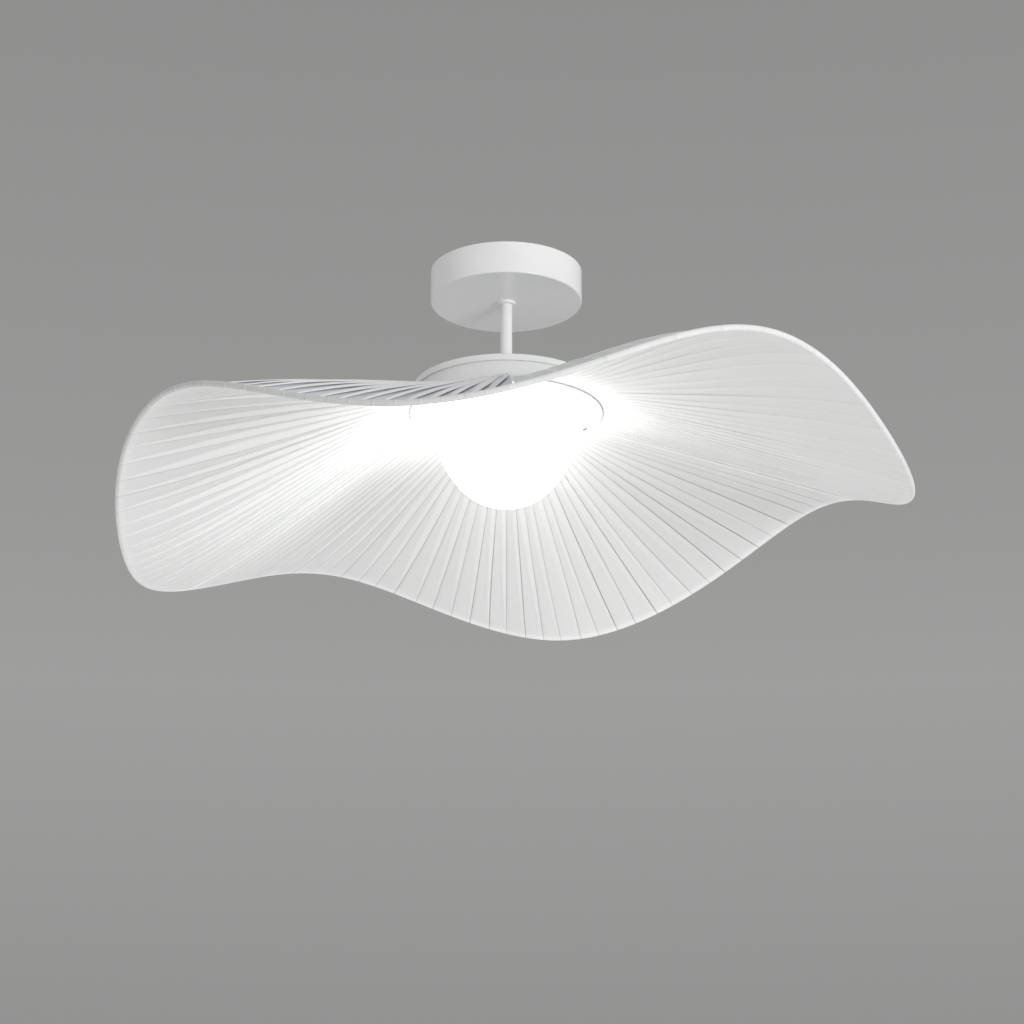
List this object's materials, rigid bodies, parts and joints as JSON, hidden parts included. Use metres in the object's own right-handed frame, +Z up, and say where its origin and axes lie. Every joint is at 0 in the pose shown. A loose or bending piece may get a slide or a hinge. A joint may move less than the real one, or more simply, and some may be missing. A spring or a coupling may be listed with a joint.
{
  "type": "ceiling light",
  "caption": "Ceiling light with a round canopy, short rod, round lamp body with an opal bowl, and a wide wavy shade of pleated fabric stretched to a wire rim.",
  "frame": {"origin": "centre of the ceiling plane, on the rod's axis, at the top face of the ceiling bracket", "axes": "+Z up into the ceiling, +X along the ceiling bracket, the pictured side faces -Y"},
  "size_m": [0.7763, 0.7893, 0.3147],
  "materials": {
    "white_paint": "satin",
    "white_fabric": "matte",
    "opal": "satin",
    "zinc_steel": "satin",
    "white_plastic": "satin",
    "board_white": "gloss",
    "chip_yellow": "gloss",
    "grey_foam": "matte",
    "tinned_brass": "satin",
    "brown_sleeve": "gloss",
    "blue_sleeve": "gloss",
    "green_sleeve": "gloss",
    "red_sleeve": "gloss",
    "black_sleeve": "gloss"
  },
  "bodies": {
    "fixture": {"ceiling_bracket": "zinc_steel", "canopy_cup": "white_paint", "canopy_set_screws": "zinc_steel", "down_rod": "white_paint", "rod_collar": "white_paint", "rod_top_washer": "zinc_steel", "rod_bottom_washer": "zinc_steel", "rod_top_nut": "zinc_steel", "rod_bottom_nut": "zinc_steel", "rod_bush": "white_plastic", "hub_cover": "white_paint", "hub_drum": "white_paint", "hub_screws": "white_paint", "board_standoffs": "zinc_steel", "led_board": "board_white", "board_screws": "zinc_steel", "led_chips": "chip_yellow", "board_connector": "white_plastic", "shade_hub_ring": "white_paint", "fabric_clamp_ring": "white_paint", "shade_ring_screws": "zinc_steel", "shade_rim_wire": "white_paint", "spoke_front": "white_paint", "spoke_right": "white_paint", "spoke_left": "white_paint", "rim_binding": "white_fabric", "shade_panel_front": "white_fabric", "shade_panel_right": "white_fabric", "shade_panel_left": "white_fabric", "driver_pad": "grey_foam", "led_driver": "white_plastic", "terminal_block": "white_plastic", "terminal_block_screw": "zinc_steel", "terminal_screws": "zinc_steel", "earth_lug": "tinned_brass", "earth_screw": "zinc_steel", "lead_live": "brown_sleeve", "lead_neutral": "blue_sleeve", "lead_earth": "green_sleeve", "led_lead_positive": "red_sleeve", "led_lead_negative": "black_sleeve"},
    "diffuser": {"diffuser": "opal"}
  },
  "joints": [
    {"name": "diffuser_twist", "type": "hinge", "parent": "fixture", "child": "diffuser", "pos_m": [0, 0, -0.14], "axis": [0, 0, 1], "range_deg": [-25, 0]}
  ]
}
